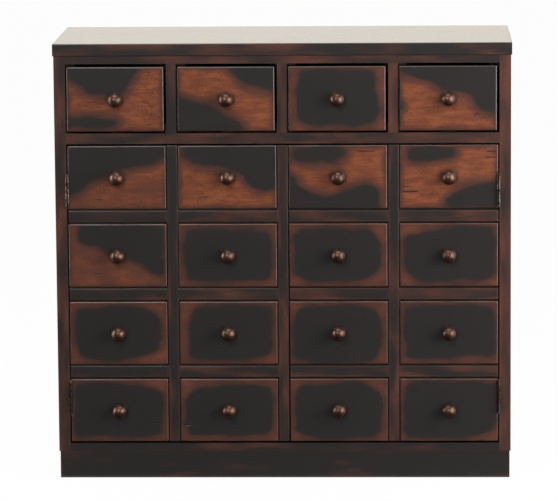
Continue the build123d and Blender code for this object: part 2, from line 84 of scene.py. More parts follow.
# Dark glaze left on each front, as closed outlines of x,y pairs in hundredths of the front's width
# and height, from its top left corner. Outside them the glaze is rubbed back to the stain. The keys
# are row and column, from the top left.
POOLS = {
    (0, 0): [
        "-5,-10 76,-10 74,4 69,15 64,28 60,42 45,47 30,43 17,36 7,26 1,14",
        "-10,79 20,77 45,77 54,84 50,95 25,96 -10,95",
    ],
    (0, 1): [
        "50,-10 110,-10 110,42 95,36 80,33 68,28 60,17 55,5",
        "-10,42 6,46 20,54 35,62 50,74 62,82 69,92 72,110 -10,110",
    ],
    (0, 2): ["9,16 16,7 30,4 60,3 84,5 90,14 92,35 93,60 92,78 90,90 80,93 50,93 25,94 14,88 8,78 7,50"],
    (0, 3): [
        "-10,-10 110,-10 110,74 97,73 87,71 78,62 74,50 66,43 50,40 40,30 25,22 10,17 0,10",
        "-5,55 1.5,57 1.5,65 -5,67",
    ],
    (1, 0): ["-10,-10 110,-10 105,10 97,22 88,30 70,35 55,38 42,44 30,54 20,62 12,72 3,80 -10,85"],
    (1, 1): ["3,3 30,-10 110,-10 110,62 97,68 87,72 77,68 70,58 64,48 52,39 38,34 20,30 10,24 3,14"],
    (1, 2): [
        "2,4 20,0 50,0 60,8 58,18 48,25 30,29 12,26 2,20",
        "-10,48 5,48 10,57 15,69 27,77 42,79 55,76 64,68 70,61 80,58 88,64 91,76 94,90 90,110 -10,110",
    ],
    (1, 3): [
        "7,6 15,1 50,0 58,8 54,18 40,24 20,28 8,22",
        "46,100 47,87 54,76 64,68 80,62 110,54 110,97 80,100",
    ],
    (2, 0): ["13,-5 50,-2 94,0 98.5,12 98.5,50 98,84 90,83 80,74 70,63 60,56 48,50 34,42 20,35 10,27 8,15"],
    (2, 1): ["4,12 8,7 50,6 92,8 95,15 96,50 94,82 88,93 50,94 15,95 6,88 3,60"],
    (2, 2): ["4,14 12,9 40,6 70,6 82,10 90,20 94,35 95,50 94,66 90,80 78,88 60,92 35,93 15,90 6,80 3,60"],
    (2, 3): ["5,20 20,14 30,5 60,3 95,5 98,20 98,80 90,90 60,93 35,95 18,95 10,85 4,76 3,50"],
    (3, 0): ["4,15 8,8 30,6 60,6 82,10 92,20 95,35 95,70 90,80 80,86 65,93 40,96 15,93 8,85 5,60"],
    (3, 1): ["10,10 30,6 80,6 96,10 97,30 96,70 94,85 85,92 50,95 20,95 11,90 8,80 9,50"],
    (3, 2): ["5,20 10,10 20,6 70,6 88,10 94,20 95,60 94,75 88,88 80,97 50,100 10,100 2,90 2,50"],
    (3, 3): ["3,10 10,5 60,4 90,5 97,10 98,60 97,88 90,93 60,90 30,93 8,92 4,80"],
    (4, 0): ["2,10 10,6 45,5 70,8 85,15 94,22 96,40 96,80 90,90 60,93 30,93 5,94 2,85"],
    (4, 1): ["6,30 10,20 20,10 45,8 85,8 95,15 96,50 94,85 85,92 50,93 15,93 5,85 3,60"],
    (4, 2): ["5,20 10,10 25,6 70,6 85,12 92,20 95,40 95,75 92,88 82,95 50,96 15,95 6,85 3,60"],
    (4, 3): ["4,25 6,10 14,4 50,3 95,5 98,20 98,85 90,92 70,93 40,97 10,97 5,88 3,60"],
}

# How far the rubbing goes beyond the glaze, in mm: on the upper two rows, on the lower three, and on
# the fronts that differ from the rest of their row
RUBBED_UPPER, RUBBED_LOWER = 30, 10.5
RUBBED = {(0, 2): 11, (1, 0): 14}

# Half the width and height, in mm, of the dark ring round a knob, and how dark it is: painted shade round the
# knob's foot, partly glaze that the rag could not reach
KNOB_SHADE_RING, KNOB_SHADE_DARKNESS = (18.5, 16), 0.75

# Drying cracks opened with a knife: left end, right end and height of each, in the same hundredths
SCARS = {
    (0, 3): "76,82,74.5",
    (1, 0): "26,34,85.5",
    (1, 1): "20,30,81.5",
    (1, 2): "70,87,9.5 33,39,67.5",
    (1, 3): "2,10,65.5 2,18.5,73.5 88,97.5,10.5 86.5,97,19.5",
    (2, 0): "25,31,79",
    (2, 3): "34,42,26.5",
    (4, 0): "86,95,70.5",
    (4, 1): "2,11,74.5",
    (4, 2): "10,18,24.5",
    (4, 3): "9,20,20",
}


def linear(colour):
    """An sRGB hex colour as linear red, green, blue and alpha."""
    parts = [int(colour[i : i + 2], 16) / 255 for i in (0, 2, 4)]
    return [c / 12.92 if c <= 0.04045 else ((c + 0.055) / 1.055) ** 2.4 for c in parts] + [1.0]


def colour_prop(name, description, default):
    return FloatVectorProperty(
        name=name, description=description, subtype="COLOR", size=4, min=0, max=1, default=linear(default)
    )


def length_prop(name, description, millimetres):
    return FloatProperty(
        name=name, description=description, default=millimetres * MM, min=0, unit="LENGTH", subtype="DISTANCE"
    )


def power_prop(name, watts):
    return FloatProperty(
        name=name, description="Power of the " + name.lower(), default=watts, min=0, unit="POWER"
    )


class PapeleraColours(PropertyGroup):
    glaze: colour_prop("Glaze", "Dark glaze where it was left on", "231f1f")
    stain: colour_prop("Stain", "Reddish stain at the edge of the glaze", "522a1c")
    worn: colour_prop("Worn", "Stain where the glaze is rubbed off", "6f3519")
    pale: colour_prop("Pale", "Stain rubbed thinnest", "864623")
    arris: colour_prop("Arris", "Stain on handled edges", "5c3526")
    # pore also colours the painted shade ring round each knob and the painted shade along the frame's arrises
    pore: colour_prop("Pore", "Glaze packed in pores and cracks", "140d0a")
    inner: colour_prop("Inner wood", "Stained wood inside the carcass", "5d4030")
    inner_dark: colour_prop("Inner wood grain", "Late wood of the inner boards", "3f2a20")
    box: colour_prop("Drawer wood", "Sealed hardwood of the drawer boxes", "b98f63")
    box_dark: colour_prop("Drawer wood grain", "Late wood of the drawer boxes", "94693f")
    ply: colour_prop("Plywood", "Stained plywood veneer", "6a4a35")
    ply_dark: colour_prop("Plywood grain", "Late wood of the plywood veneer", "4d3425")
    bronze: colour_prop("Bronze", "Knob metal polished by hands", "6e4d3e")
    bronze_dark: colour_prop("Bronze patina", "Knob metal left dark", "4c372d")
    hinge: colour_prop("Hinge plating", "Antiqued plating on raised places", "645950")
    hinge_dark: colour_prop("Hinge patina", "Antiqued plating in the recesses", "2f2822")
    zinc: colour_prop("Zinc", "Zinc plating", "b4b4ae")
    zinc_dark: colour_prop("Dull zinc", "Zinc plating gone dull", "7d7d79")
    plastic: colour_prop("Catch plastic", "Moulded catch body", "2b211b")


class PapeleraSizes(PropertyGroup):
    ease: length_prop("Ease", "Width of the eased arrises", 0.5)
    front_cell: length_prop("Front cell", "Spacing of the mesh across the fronts", 4)
    scar_width: length_prop("Crack width", "Width of an opened crack", 1.6)
    scar_depth: length_prop("Crack depth", "Depth of an opened crack", 0.5)
    knob_radius: length_prop("Knob radius", "Radius of the ball", 14.3)
    knob_reach: length_prop("Knob reach", "From the front's face to the end of the ball", 31)
    rose_radius: length_prop("Rose radius", "Radius of the small plate under the knob", 8.5)
    rose_height: length_prop("Rose height", "Thickness of the rose", 1.8)
    neck_radius: length_prop("Neck radius", "Radius of the knob's neck", 4.5)
    knuckle_radius: length_prop("Knuckle radius", "Radius of the hinge barrels", 3.9)
    pin_radius: length_prop("Hinge pin radius", "Radius of the hinge pins", 1.5)
    screw_radius: length_prop("Screw head radius", "Radius of the hinge screws' heads", 2.9)
    seed: IntProperty(name="Seed", description="Chooses the boards and the turn of the screws", default=11)


class PapeleraStudio(PropertyGroup):
    lens: FloatProperty(name="Lens", description="Focal length", default=252, min=1, unit="CAMERA")
    key: power_prop("Right softbox", 62)
    strip: power_prop("Right strip", 12)
    edge: power_prop("Left strip", 30)
    fill: power_prop("Front softbox", 58)
    top: power_prop("Overhead softbox", 28)
    back: power_prop("Backdrop softbox", 17)
    ambient: FloatProperty(name="Ambient", description="Light of the room in front", default=0.06, min=0)


# ---- Meshes ----


def merged(node):
    """A CAD node's mesh copied with its triangles joined up into whole faces."""
    bm = bmesh.new()
    bm.from_mesh(frame["nodes"][node].data)
    bmesh.ops.remove_doubles(bm, verts=bm.verts, dist=2e-6)
    bmesh.ops.dissolve_limit(bm, angle_limit=math.radians(2), verts=bm.verts, edges=bm.edges)
    return bm


def labels(mesh):
    """For each vertex of a mesh, the number of the loose part that it belongs to."""
    ends = np.zeros(len(mesh.edges) * 2, np.int64)
    mesh.edges.foreach_get("vertices", ends)
    a, b = ends.reshape(-1, 2).T
    label = np.arange(len(mesh.vertices))
    while True:
        low = np.minimum(label[a], label[b])
        before = label.copy()
        np.minimum.at(label, a, low)
        np.minimum.at(label, b, low)
        label = label[label]
        if (label == before).all():
            return np.unique(label, return_inverse=True)[1]


def points(mesh):
    co = np.zeros(len(mesh.vertices) * 3)
    mesh.vertices.foreach_get("co", co)
    return co.reshape(-1, 3)


@lru_cache(maxsize=None)
def solids(node):
    """The lowest and highest corner of each solid in a CAD node, from the left and from the top."""
    bm = merged(node)
    mesh = bpy.data.meshes.new("measure")
    bm.to_mesh(mesh)
    bm.free()
    co, label = points(mesh), labels(mesh)
    boxes = [(co[label == i].min(0), co[label == i].max(0)) for i in range(label.max() + 1)]
    bpy.data.meshes.remove(mesh)
    return sorted(boxes, key=lambda box: (round(box[0][0], 3), -round(box[0][2], 3)))


def ease_edges(bm, width):
    """Takes the sharpness off every square edge."""
    sharp = [e for e in bm.edges if len(e.link_faces) == 2 and e.calc_face_angle(0) > math.radians(50)]
    bmesh.ops.bevel(
        bm, geom=sharp, offset=width, offset_type="OFFSET", segments=2, profile=0.5, clamp_overlap=True
    )


def slice_at(bm, axis, places):
    """Cuts the mesh through at each place along an axis, and leaves the shape as it is."""
    normal = [float(i == axis) for i in range(3)]
    for place in places:
        geometry = bm.verts[:] + bm.edges[:] + bm.faces[:]
        at = [place if i == axis else 0 for i in range(3)]
        bmesh.ops.bisect_plane(bm, geom=geometry, dist=1e-6, plane_co=at, plane_no=normal)


def cells(low, high, spacing, margin):
    """Places for even cuts between two ends, a margin away from each."""
    count = max(1, round((high - low - 2 * margin) / spacing))
    return [low + margin + (high - low - 2 * margin) * i / count for i in range(count + 1)]


def placed(name, data):
    """A new object in the scene."""
    obj = bpy.data.objects.new(name, data)
    bpy.context.scene.collection.objects.link(obj)
    return obj


def worked(obj, kind, **settings):
    """The object's mesh after one modifier, which is then taken off again."""
    modifier = obj.modifiers.new(kind.lower(), kind)
    for key, value in settings.items():
        setattr(modifier, key, value)
    before = obj.data
    evaluated = obj.evaluated_get(bpy.context.evaluated_depsgraph_get())
    after = bpy.data.meshes.new_from_object(evaluated)
    obj.modifiers.remove(modifier)
    obj.data = after
    bpy.data.meshes.remove(before)
    after.name = obj.name
    return obj


def as_object(bm, name, smooth_below=40):
    """A finished mesh as an object at the origin, smooth over its gentle edges and flat on its flats."""
    mesh = bpy.data.meshes.new(name)
    bm.to_mesh(mesh)
    bm.free()
    mesh.shade_smooth()
    mesh.set_sharp_from_angle(angle=math.radians(smooth_below))
    return worked(placed(name, mesh), "WEIGHTED_NORMAL", keep_sharp=True, weight=90)


def write(mesh, name, values):
    kind, field = ("FLOAT", "value") if values.ndim == 1 else ("FLOAT_VECTOR", "vector")
    attribute = mesh.attributes.new(name, kind, "POINT")
    attribute.data.foreach_set(field, np.ascontiguousarray(values, np.float32).ravel())


def lay_grain(mesh, seed):
    """Runs the grain along each board. Writes place (metres along, across and through the board from
    its corner), span (its length, width and thickness) and log (where in the log it was cut)."""
    co, label = points(mesh), labels(mesh)
    rng = np.random.default_rng(seed)
    place, span, log = np.zeros_like(co), np.zeros_like(co), np.zeros_like(co)
    for i in range(label.max() + 1):
        own = label == i
        low, high = co[own].min(0), co[own].max(0)
        order = np.argsort(low - high)
        place[own] = (co[own] - low)[:, order]
        span[own] = (high - low)[order]
        log[own] = rng.uniform(1, 9, 3)
    write(mesh, "place", place)
    write(mesh, "span", span)
    write(mesh, "log", log)
    return co, label


def shares(groups):
    """Groups of numbers in hundredths, as rows of shares."""
    return np.array([[float(value) / 100 for value in group.split(",")] for group in groups.split()])


def smooth_outline(line):
    """A closed outline with its corners cut round."""
    for _ in range(2):
        after = np.roll(line, -1, 0)
        line = np.stack([0.75 * line + 0.25 * after, 0.25 * line + 0.75 * after], 1).reshape(-1, 2)
    return line


def depth_inside(place, outline):
    """How far each place lies inside a closed outline; less than nothing outside it."""
    a, b = outline, np.roll(outline, -1, 0)
    run = b - a
    rel = place[:, None, :] - a[None]
    share = np.clip((rel * run).sum(2) / (run**2).sum(1), 0, 1)
    away = np.linalg.norm(rel - share[..., None] * run, axis=2).min(1)
    crosses = (a[:, 1] > place[:, None, 1]) != (b[:, 1] > place[:, None, 1])
    rise = np.where(run[:, 1] == 0, 1e-12, run[:, 1])
    at = a[:, 0] + (place[:, None, 1] - a[:, 1]) * run[:, 0] / rise
    inside = (crosses & (place[:, None, 0] < at)).sum(1) % 2 == 1
    return np.where(inside, away, -away)


def lathe(profile, segments, closed=False):
    """A shape turned round Z through (radius, height) pairs in metres; a radius of 0 closes it."""
    bm = bmesh.new()
    turns = [2 * math.pi * i / segments for i in range(segments)]
    rings = []
    for radius, height in profile:
        around = turns if radius > 0 else [0]
        rings.append([bm.verts.new((radius * math.cos(t), radius * math.sin(t), height)) for t in around])
    pairs = list(zip(rings, rings[1:])) + ([(rings[-1], rings[0])] if closed else [])
    for low, high in pairs:
        for i in range(segments):
            j = (i + 1) % segments
            corners = (low[i % len(low)], low[j % len(low)], high[j % len(high)], high[i % len(high)])
            bm.faces.new(list(dict.fromkeys(corners)))
    bmesh.ops.recalc_face_normals(bm, faces=bm.faces)
    return bm


def block(low, high, ease, segments=2):
    """A block with its edges rounded."""
    bm = bmesh.new()
    size = Vector(high) - Vector(low)
    middle = (Vector(high) + Vector(low)) / 2
    bmesh.ops.create_cube(bm, size=1, matrix=Matrix.Translation(middle) @ Matrix.Diagonal((*size, 1)))
    bmesh.ops.bevel(bm, geom=bm.edges[:], offset=ease, segments=segments, profile=0.5, clamp_overlap=True)
    return bm


def gather(parts):
    """Several meshes in one, each moved by its own matrix."""
    whole = bmesh.new()
    for bm, matrix in parts:
        bm.transform(matrix)
        mesh = bpy.data.meshes.new("part")
        bm.to_mesh(mesh)
        bm.free()
        whole.from_mesh(mesh)
        bpy.data.meshes.remove(mesh)
    return whole


def settle(obj, body, slot, material, *nodes):
    """Gives a finished piece its material and its body, and hides the CAD nodes it stands for. slot is not
    used.
    """
    if not obj.data.materials:
        obj.data.materials.append(material)
    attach(obj, body)
    if nodes:
        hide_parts(*nodes)


def dress_boards(context, nodes, material, glaze=(), ease=True):
    """Copies boards from their CAD nodes, eases their edges, and lays their grain and glaze. glaze is
    how many mm inside the glaze a board lies, for boards at even steps from left to right."""
    sizes = context.scene.papelera_sizes
    for node in nodes:
        bm = merged(node)
        if ease:
            ease_edges(bm, sizes.ease)
        obj = as_object(bm, node + "_wood")
        co, label = lay_grain(obj.data, sizes.seed + sorted(BODY_OF).index(node))
        if glaze:
            middles = np.array([co[label == i, 0].mean() for i in range(label.max() + 1)])[label]
            steps = np.linspace(middles.min(), middles.max(), len(glaze))
            write(obj.data, "pool", np.interp(middles, steps, glaze))
            write(obj.data, "scar", np.zeros(len(co)))
        settle(obj, BODY_OF[node], SLOT_OF[node], bpy.data.materials[material], node)


# ---- Materials ----


MATH, RANGE, MIX, VECTOR = "ShaderNodeMath", "ShaderNodeMapRange", "ShaderNodeMix", "ShaderNodeVectorMath"
SMOOTH = {"interpolation_type": "SMOOTHSTEP"}
COLOUR = {"data_type": "RGBA"}


def add(tree, kind, inputs=(), **settings):
    """Adds a node with its settings. Its inputs are values, or nodes and sockets to link from, by name
    or in the order of the sockets in use. A node stands for its first output in use."""
    node = tree.nodes.new(kind)
    for key, value in settings.items():
        setattr(node, key, value)
    if not isinstance(inputs, dict):
        inputs = dict(zip([i for i, socket in enumerate(node.inputs) if socket.enabled], inputs))
    for key, value in inputs.items():
        if isinstance(value, bpy.types.Node):
            value = next(output for output in value.outputs if output.enabled)
        if isinstance(value, bpy.types.NodeSocket):
            tree.links.new(value, node.inputs[key])
        else:
            node.inputs[key].default_value = value
    return node


def new_material(name):
    """An empty material, and its tree with an output."""
    material = bpy.data.materials.new(name)
    material.use_nodes = True
    material.node_tree.nodes.clear()
    return material.node_tree


def surface(tree, inputs):
    shader = add(tree, "ShaderNodeBsdfPrincipled", inputs)
    add(tree, "ShaderNodeOutputMaterial", {"Surface": shader})


def textures(tree, coordinates, table):
    """Noise fields on one set of coordinates, by name, from (name, grain size in mm, detail)."""
    fields = {}
    for name, size, detail in table:
        scale = [1 / (s * MM) for s in size]
        place = add(tree, VECTOR, (coordinates, scale), operation="MULTIPLY")
        fields[name] = add(tree, "ShaderNodeTexNoise", {"Vector": place, "Scale": 1.0, "Detail": detail})
    return fields


def board_fields(tree):
    """Where a place is in its log, how many mm it is from the nearest arris of its board, and how many
    mm behind the board's front face."""
    place, span, log = (
        add(tree, "ShaderNodeAttribute", attribute_name=name).outputs["Vector"]
        for name in ("place", "span", "log")
    )
    grain = add(tree, VECTOR, (place, log), operation="ADD")
    beyond = add(tree, VECTOR, (span, place), operation="SUBTRACT")
    inside = add(tree, VECTOR, (place, beyond), operation="MINIMUM")
    inside = add(tree, VECTOR, (inside, [1 / MM] * 3), operation="MULTIPLY")
    along, across, through = add(tree, "ShaderNodeSeparateXYZ", (inside,)).outputs
    # the middle one of the three depths
    less = add(tree, MATH, (along, across), operation="MINIMUM")
    more = add(tree, MATH, (along, across), operation="MAXIMUM")
    more = add(tree, MATH, (more, through), operation="MINIMUM")
    rim = add(tree, MATH, (less, more), operation="MAXIMUM")
    down = add(tree, "ShaderNodeSeparateXYZ", (place,)).outputs[2]
    return grain, rim, add(tree, MATH, (down, 1 / MM), operation="MULTIPLY")


def rubbed_glaze(name, colours, blotch, reach, comb, soft, fade, bare, band, joint_glaze_and_shade, veil):
    """Close-grained hardwood, stained reddish brown, wiped with a near-black glaze that is rubbed back
    to the stain, under satin lacquer: dark and even where glaze lies, with grain where it is gone.
    blotch is the size in mm of the glaze's uneven places. reach and comb are how many mm they and the
    fine streaks move its edge, soft is half the width of that edge, and fade is how many mm beyond it
    the stain takes to come up in full. bare is how far the arrises are rubbed, in a band that many mm
    wide, joint_glaze_and_shade is how dark the lines along the arrises are, partly glaze where boards meet
    and partly painted shade in the gaps and under the top board, and veil is how much of the stain still
    shows through it beside an arris."""
    tree = new_material(name)
    grain, rim, down = board_fields(tree)
    pool, scar = (
        add(tree, "ShaderNodeAttribute", attribute_name=key).outputs["Fac"] for key in ("pool", "scar")
    )
    fields = textures(
        tree,
        grain,
        (
            ("blotch", blotch, 1.5),
            ("streak", (55, 2.2, 2.2), 2.0),
            ("fibre", (26, 0.9, 0.9), 3.0),
            ("figure", (30, 10, 10), 2.5),
            # pores and worm holes, drawn about twice as coarse as they are
            ("fleck", (3.5, 1.8, 1.8), 0.0),
        ),
    )
    # mm inside the glaze, its edge moved by blotches and by streaks along the grain
    depth = pool
    for field, amount in (("blotch", reach), ("streak", comb)):
        shift = add(tree, MATH, (fields[field], 0.5), operation="SUBTRACT")
        depth = add(tree, MATH, (shift, amount, depth), operation="MULTIPLY_ADD")
    bared = add(tree, RANGE, (depth, -4 - fade, -4, 1, 0), **SMOOTH)
    glazed = add(tree, RANGE, (depth, -soft, soft), **SMOOTH)
    # stain: palest where it is bare, redder towards the glaze, with its fibres
    patches = add(tree, RANGE, (fields["figure"], 0.36, 0.72), **SMOOTH)
    patches = add(tree, MATH, (patches, bared), operation="MULTIPLY")
    stain = add(tree, MIX, (patches, colours.worn, colours.pale), **COLOUR)
    stain = add(tree, MIX, (bared, colours.stain, stain), **COLOUR)
    fibres = add(tree, MATH, (fields["fibre"], 1.1, 0.2), operation="MULTIPLY_ADD")
    fibres = add(tree, MATH, (fields["streak"], 0.5, fibres), operation="MULTIPLY_ADD")
    veiled = add(tree, RANGE, (rim, 1, 15, veil, 1), **SMOOTH)
    fibres = add(tree, MATH, (fibres, veiled), operation="MULTIPLY")
    stain = add(tree, MIX, (1.0, stain, fibres), blend_type="MULTIPLY", **COLOUR)
    colour = add(tree, MIX, (glazed, stain, colours.glaze), **COLOUR)
    # the front arrises are rubbed to the stain by handling, here more and there less
    edge = add(tree, MATH, (fields["streak"], 2.0, rim), operation="MULTIPLY_ADD")
    edge = add(tree, MATH, (fields["blotch"], 3.4, edge), operation="MULTIPLY_ADD")
    handled = add(tree, RANGE, (edge, 3.0, 3.0 + band, bare, 0), **SMOOTH)
    near = add(tree, RANGE, (down, 0.6, 2, 1, 0), **SMOOTH)
    handled = add(tree, MATH, (handled, near), operation="MULTIPLY")
    colour = add(tree, MIX, (handled, colour, colours.arris), **COLOUR)
    # pores and opened cracks hold the glaze; the dark lines along the arrises are glaze where boards meet and
    # painted shade in the gaps and under the top board, and the ring round each knob is painted shade
    flecks = add(tree, RANGE, (fields["fleck"], 0.68, 0.76, 0, 0.8), **SMOOTH)
    joint_lines_and_shade = add(tree, RANGE, (rim, 0.5, 1.9, joint_glaze_and_shade, 0), **SMOOTH)
    dark = add(tree, MATH, (flecks, joint_lines_and_shade), operation="MAXIMUM")
    dark = add(tree, MATH, (dark, scar), operation="MAXIMUM")
    colour = add(tree, MIX, (dark, colour, colours.pore), **COLOUR)
    height = add(tree, MATH, (fields["fibre"], dark), operation="SUBTRACT")
    bump = add(tree, "ShaderNodeBump", {"Strength": 0.12, "Distance": 0.1 * MM, "Height": height})
    surface(
        tree,
        {
            "Base Color": colour,
            "Roughness": add(tree, RANGE, (depth, -8, 4, 0.5, 0.4)),
            "Normal": bump,
            "Coat Weight": 0.85,
            "Coat Roughness": 0.16,
        },
    )


def plain_wood(name, pale, dark, ring, roughness, coat):
    """Planed wood under a thin even finish: late wood in darker bands along the grain."""
    tree = new_material(name)
    grain = board_fields(tree)[0]
    fields = textures(
        tree,
        grain,
        (
            ("ring", (ring * 30, ring, ring), 2.0),
            ("fibre", (28, 0.6, 0.6), 3.0),
            ("pore", (5, 0.5, 0.5), 1.0),
        ),
    )
    rings = add(tree, MATH, (fields["ring"], 7.0), operation="MULTIPLY")
    bands = add(tree, MATH, (rings,), operation="FRACT")
    late = add(tree, MATH, (fields["fibre"], 0.7, -0.15), operation="MULTIPLY_ADD")
    late = add(tree, MATH, (bands, 0.45, late), operation="MULTIPLY_ADD")
    share = add(tree, RANGE, (late, 0.15, 0.85))
    bump = add(tree, "ShaderNodeBump", {"Strength": 0.3, "Distance": 0.1 * MM, "Height": fields["pore"]})
    surface(
        tree,
        {
            "Base Color": add(tree, MIX, (share, pale, dark), **COLOUR),
            "Roughness": roughness,
            "Normal": bump,
            "Coat Weight": coat,
            "Coat Roughness": 0.3,
        },
    )


def worn_metal(name, bright, dark, roughness, patch, coat=0.0):
    """Cast or pressed metal with a patina that hands have polished off in places, lacquered or bare."""
    tree = new_material(name)
    place = add(tree, "ShaderNodeTexCoord").outputs["Object"]
    fields = textures(tree, place, (("patina", (patch,) * 3, 3.0), ("pits", (0.5,) * 3, 2.0)))
    share = add(tree, RANGE, (fields["patina"], 0.34, 0.6), **SMOOTH)
    bump = add(tree, "ShaderNodeBump", {"Strength": 0.15, "Distance": 0.05 * MM, "Height": fields["pits"]})
    surface(
        tree,
        {
            "Base Color": add(tree, MIX, (share, dark, bright), **COLOUR),
            "Metallic": 1.0,
            "Roughness": add(tree, RANGE, (fields["patina"], 0.3, 0.7, roughness + 0.1, roughness)),
            "Normal": bump,
            "Coat Weight": coat,
            "Coat Roughness": 0.18,
        },
    )


def moulded_plastic(name, colour):
    """Moulded ABS with a fine spark-eroded grain."""
    tree = new_material(name)
    place = add(tree, "ShaderNodeTexCoord").outputs["Object"]
    fields = textures(tree, place, (("grain", (0.4,) * 3, 2.0), ("cloud", (12,) * 3, 2.0)))
    rough = add(tree, RANGE, (fields["cloud"], 0.3, 0.7, 0.45, 0.6))
    bump = add(tree, "ShaderNodeBump", {"Strength": 0.3, "Distance": 0.05 * MM, "Height": fields["grain"]})
    surface(tree, {"Base Color": colour, "Roughness": rough, "Normal": bump})


class PAPELERA_OT_materials(Operator):
    """Mix the finishes"""

    bl_idname = "papelera.materials"
    bl_label = "Finishes"

    def execute(self, context):
        c = context.scene.papelera_colours
        rubbed_glaze(
            "rubbed_glaze_fronts", c, blotch=(48, 26, 26), reach=20.0, comb=10.0, soft=6.5, fade=16.0,
            bare=0.5, band=2.0, joint_glaze_and_shade=0.0, veil=0.7,
        )
        rubbed_glaze(
            "rubbed_glaze_frame", c, blotch=(110, 26, 26), reach=56.0, comb=22.0, soft=12.0, fade=22.0,
            bare=0.35, band=4.5, joint_glaze_and_shade=0.42, veil=1.0,
        )
        plain_wood("stained_inner_wood", c.inner, c.inner_dark, ring=9, roughness=0.5, coat=0.2)
        plain_wood("sealed_drawer_wood", c.box, c.box_dark, ring=7, roughness=0.45, coat=0.25)
        plain_wood("stained_plywood", c.ply, c.ply_dark, ring=14, roughness=0.55, coat=0.1)
        worn_metal("oil_rubbed_bronze", c.bronze, c.bronze_dark, roughness=0.45, patch=9, coat=0.35)
        worn_metal("antiqued_hinge_plating", c.hinge, c.hinge_dark, roughness=0.25, patch=7)
        worn_metal("zinc_plated_steel", c.zinc, c.zinc_dark, roughness=0.35, patch=5)
        moulded_plastic("moulded_brown_abs", c.plastic)
        return {"FINISHED"}


# ---- Wooden pieces ----


def front_place(low):
    """Row from the top and column from the left of the front whose lowest corner is given."""
    columns = [solids(f"drawer_{n}_front")[0][0][0] for n in (1, 2, 3, 4)]
    column = min(range(4), key=lambda i: abs(columns[i] - low[0]))
    rows = [solids("drawer_1_front")[0][0][2]] + [box[0][2] for box in solids("left_door_false_fronts")[:4]]
    return min(range(5), key=lambda i: abs(rows[i] - low[2])), column


def scars_of(low, high):
    """Left end, right end and height of each crack on one front."""
    wide, tall = high[0] - low[0], high[2] - low[2]
    rows = shares(SCARS.get(front_place(low), ""))
    return [(low[0] + a * wide, low[0] + b * wide, high[2] - c * tall) for a, b, c in rows]


def cut_scars(bm, low, high, width, depth):
    """Opens the cracks of one front as grooves with a sharp bottom."""
    beside, skin = 6 * MM, low[1] + 0.1 * MM
    for left, right, at in scars_of(low, high):
        for place in (at - width, at - width / 2, at, at + width / 2, at + width):
            near = []
            for face in bm.faces:
                x, y, z = face.calc_center_median()
                if left - beside < x < right + beside and abs(z - at) < beside and y < skin:
                    near.append(face)
            geometry = list({g for face in near for g in (*face.verts, *face.edges, face)})
            bmesh.ops.bisect_plane(bm, geom=geometry, dist=1e-6, plane_co=(0, 0, place), plane_no=(0, 0, 1))
        for v in bm.verts:
            if abs(v.co.z - at) < 1e-5 and left < v.co.x < right and v.co.y < skin:
                v.co.y += depth


def lay_pools(mesh, co, label, width):
    """Glaze pools and cracks of the small fronts, a painted shade ring round each knob, and full glaze on
    their sides and backs as painted shade in the gaps round them.
    """
    pool, scar = np.zeros(len(co)), np.zeros(len(co))
    for i in range(label.max() + 1):
        own = label == i
        low, high = co[own].min(0), co[own].max(0)
        size = np.array([high[0] - low[0], high[2] - low[2]]) / MM
        place = np.stack([co[own, 0] - low[0], high[2] - co[own, 2]], 1) / MM
        key = front_place(low)
        depth = np.max([depth_inside(place, smooth_outline(shares(o)) * size) for o in POOLS[key]], 0)
        depth = np.maximum(depth, -RUBBED.get(key, RUBBED_LOWER if key[0] > 1 else RUBBED_UPPER))
        if key[0] < 2 or key == (2, 0):
            # the rag rubs less hard beside the arrises
            edge = np.minimum(place, size - place).min(1)
            depth = np.maximum(depth, -7 - edge)
        # the sides and backs take full glaze: painted shade in the gaps round the front
        seen = co[own, 1] < low[1] + 1.9 * MM
        pool[own] = np.where(seen, depth, 10)
        # a dark ring round the knob: painted shade, partly glaze that the rag could not reach
        ring = np.linalg.norm((place - size / 2) / KNOB_SHADE_RING, axis=1)
        scar[own] = seen * KNOB_SHADE_DARKNESS * np.clip((1.2 - ring) / 0.35, 0, 1)
        for left, right, at in scars_of(low, high):
            x = co[own, 0]
            taper = np.clip((np.minimum(x - left, right - x) + 1.5 * MM) / (3 * MM), 0, 1)
            cut = seen * taper * (abs(co[own, 2] - at) < 0.6 * width)
            scar[own] = np.maximum(scar[own], cut)
    write(mesh, "pool", pool)
    write(mesh, "scar", scar)


def dress_fronts(context, node):
    """The fronts in one node: a close mesh across them, cracks cut in, glaze laid on."""
    sizes = context.scene.papelera_sizes
    bm = merged(node)
    for axis in (0, 2):
        for low, high in {(round(a[axis], 5), round(b[axis], 5)) for a, b in solids(node)}:
            slice_at(bm, axis, cells(low, high, sizes.front_cell, margin=3.3 * MM))
    for low, high in solids(node):
        cut_scars(bm, low, high, sizes.scar_width, sizes.scar_depth)
    obj = as_object(bm, node + "_wood")
    co, label = lay_grain(obj.data, sizes.seed + sorted(BODY_OF).index(node))
    lay_pools(obj.data, co, label, sizes.scar_width)
    settle(obj, BODY_OF[node], SLOT_OF[node], bpy.data.materials["rubbed_glaze_fronts"], node)


class PAPELERA_OT_top_board(Operator):
    """Dress the top board"""

    bl_idname = "papelera.top_board"
    bl_label = "Top board"

    def execute(self, context):
        dress_boards(context, ["top_panel"], "rubbed_glaze_frame", glaze=[6])
        return {"FINISHED"}


class PAPELERA_OT_face_frame(Operator):
    """Dress the stiles, rails and mullions of the face frame"""

    bl_idname = "papelera.face_frame"
    bl_label = "Face frame"

    def execute(self, context):
        for nodes, glaze in (
            (["top_rail", "mid_rail", "left_stile"], [0]),
            (["right_stile"], [-2]),
            (["drawer_mullions"], [7, 0, -6]),
            (["bottom_rail"], [9]),
        ):
            dress_boards(context, nodes, "rubbed_glaze_frame", glaze)
        return {"FINISHED"}


